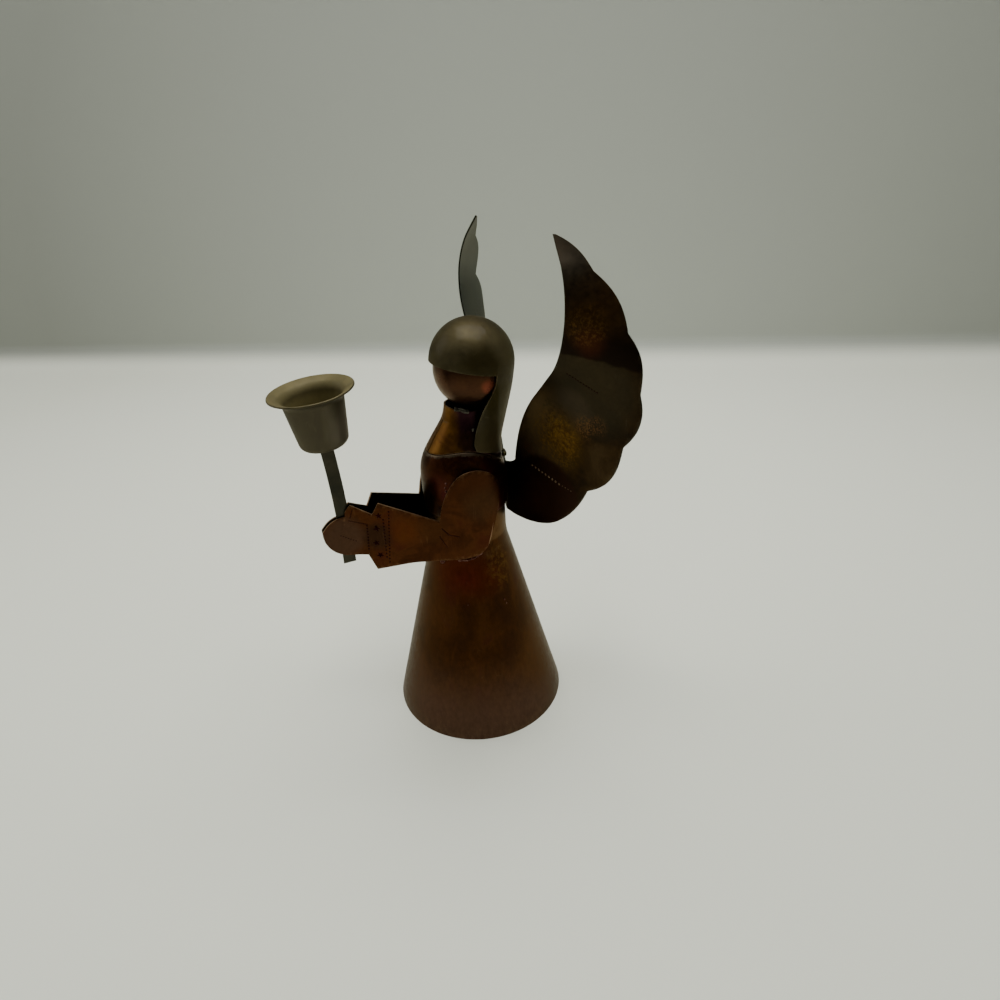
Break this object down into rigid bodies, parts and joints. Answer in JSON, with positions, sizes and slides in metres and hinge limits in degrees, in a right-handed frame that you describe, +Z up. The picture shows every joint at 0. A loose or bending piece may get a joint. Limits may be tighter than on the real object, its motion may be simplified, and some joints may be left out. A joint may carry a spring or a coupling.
{
  "type": "angel candle holder",
  "caption": "Standing angel of rolled and soldered copper sheet with raised wings, whose hands hold a stem that carries one flared candle cup.",
  "frame": {"origin": "middle of the bounding box's underside, on the surface that the skirt's hem stands on; the skirt's axis is 16.9 mm behind it", "axes": "+Z up, -Y the way the angel faces, +X the angel's left"},
  "size_m": [0.1492, 0.1218, 0.2278],
  "materials": {
    "skirt_copper": "flame-coloured copper sheet, lacquered",
    "golden_copper": "golden flame-coloured copper sheet, lacquered",
    "sleeve_copper": "brown flame-coloured copper sheet with stamped marks",
    "face_copper": "bright copper ball",
    "cup_brass": "dulled spun brass",
    "wing_copper": "dark flame-coloured copper sheet with golden spots",
    "solder": "soft solder"
  },
  "bodies": {
    "root": {"skirt": "skirt_copper", "bodice": "golden_copper", "collar": "golden_copper", "hair": "cup_brass", "head": "face_copper", "candle_cup": "cup_brass", "stem": "cup_brass", "wing_left": "wing_copper", "wing_right": "wing_copper", "arm_left": "sleeve_copper", "arm_right": "sleeve_copper", "solder_shoulder_left": "solder", "solder_shoulder_right": "solder", "solder_elbow_left": "solder", "solder_elbow_right": "solder", "solder_collar_left": "solder", "solder_collar_right": "solder", "solder_waist": "solder", "solder_hair": "solder", "solder_wings": "solder", "solder_hands": "solder", "solder_cup": "solder", "solder_skirt_seam": "solder"}
  },
  "joints": []
}
